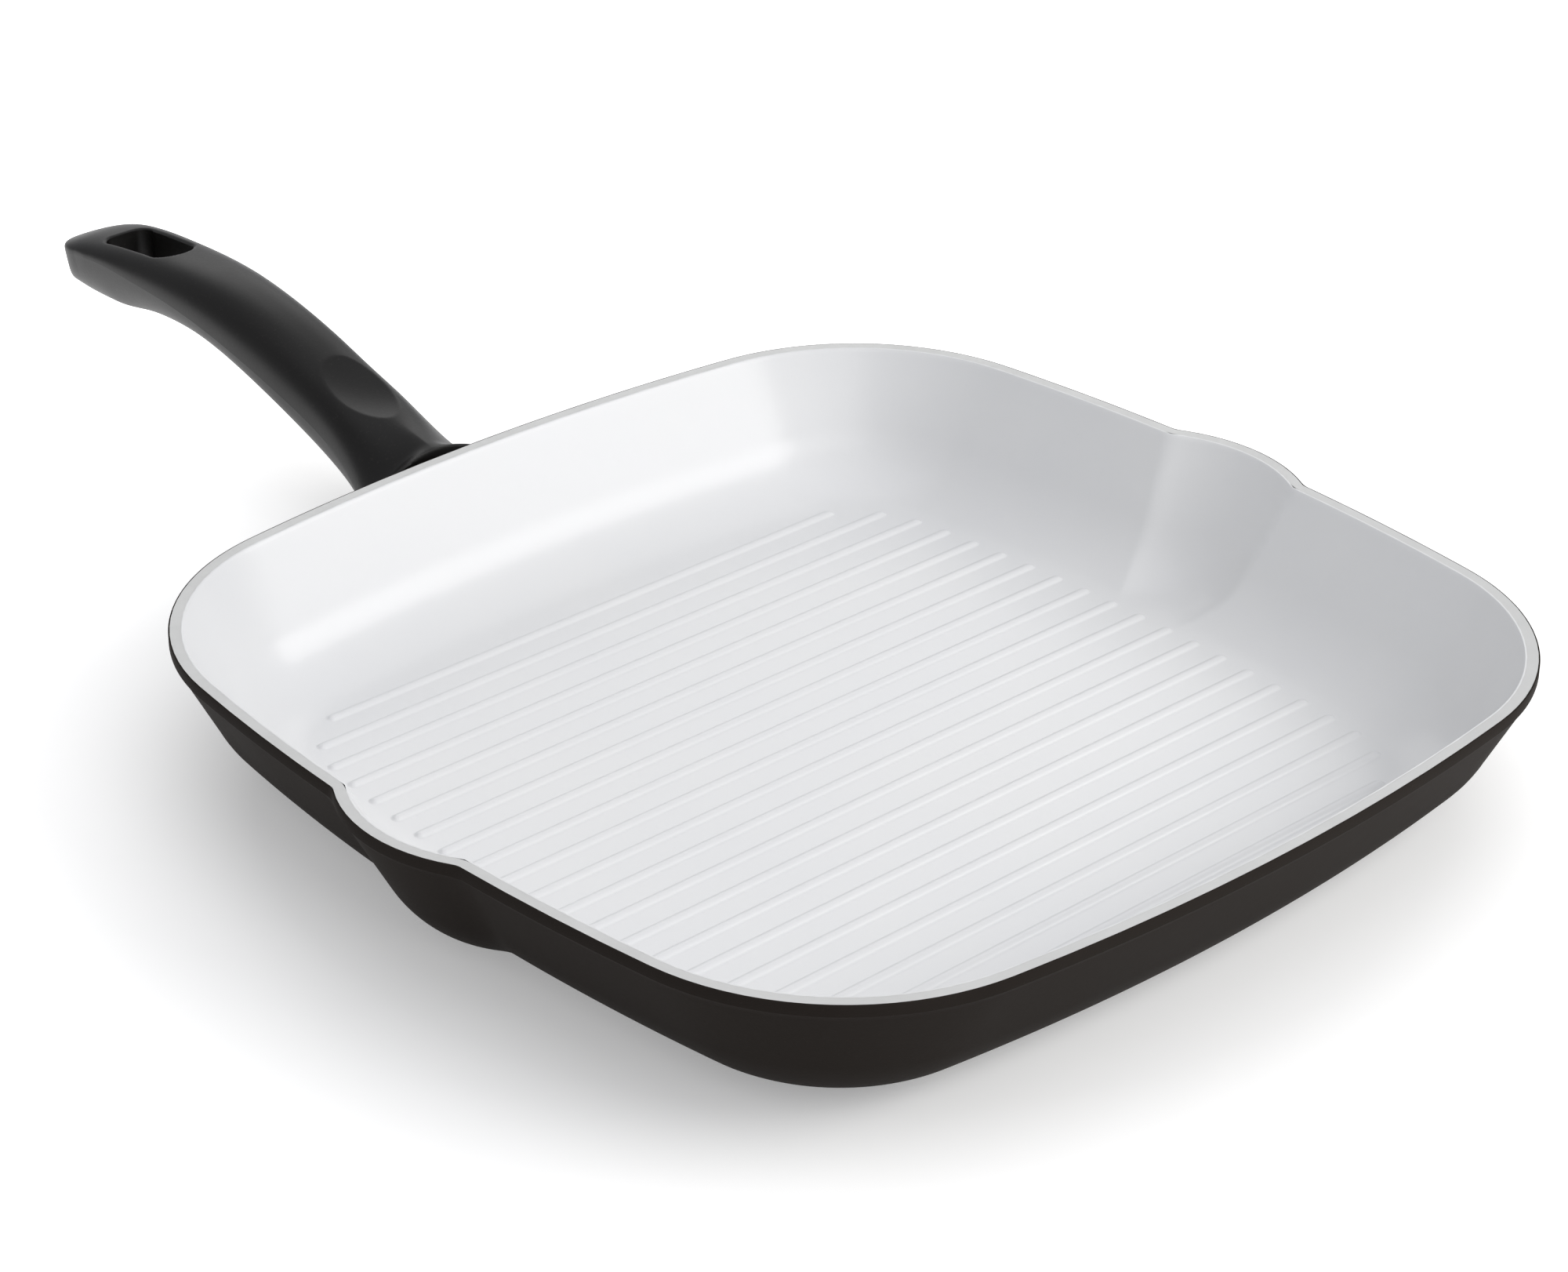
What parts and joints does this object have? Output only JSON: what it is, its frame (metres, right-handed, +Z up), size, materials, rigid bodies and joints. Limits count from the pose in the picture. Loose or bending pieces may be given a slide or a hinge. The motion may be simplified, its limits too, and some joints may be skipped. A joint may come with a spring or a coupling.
{
  "type": "grill pan",
  "caption": "Square ribbed grill pan of cast aluminium with a pale ceramic inside, a dark outside, two pouring spouts and a long curved grip with a hang hole.",
  "frame": {"origin": "centre of the flat foot on the underside, midway between the spouts", "axes": "+Z up, +Y along the grip away from the pan, +X through one of the two spouts"},
  "size_m": [0.2918, 0.4657, 0.0513],
  "materials": {
    "bare_aluminium": "fine machined",
    "white_ceramic": "satin gloss",
    "dark_coating": "matte",
    "black_phenolic": "fine matte",
    "screw_steel": "zinc plated"
  },
  "bodies": {
    "root": {"pan_casting": "bare_aluminium", "ceramic_lining": "white_ceramic", "outer_coating": "dark_coating", "handle_grip": "black_phenolic", "handle_screw": "screw_steel", "spring_washer": "screw_steel"}
  },
  "joints": []
}
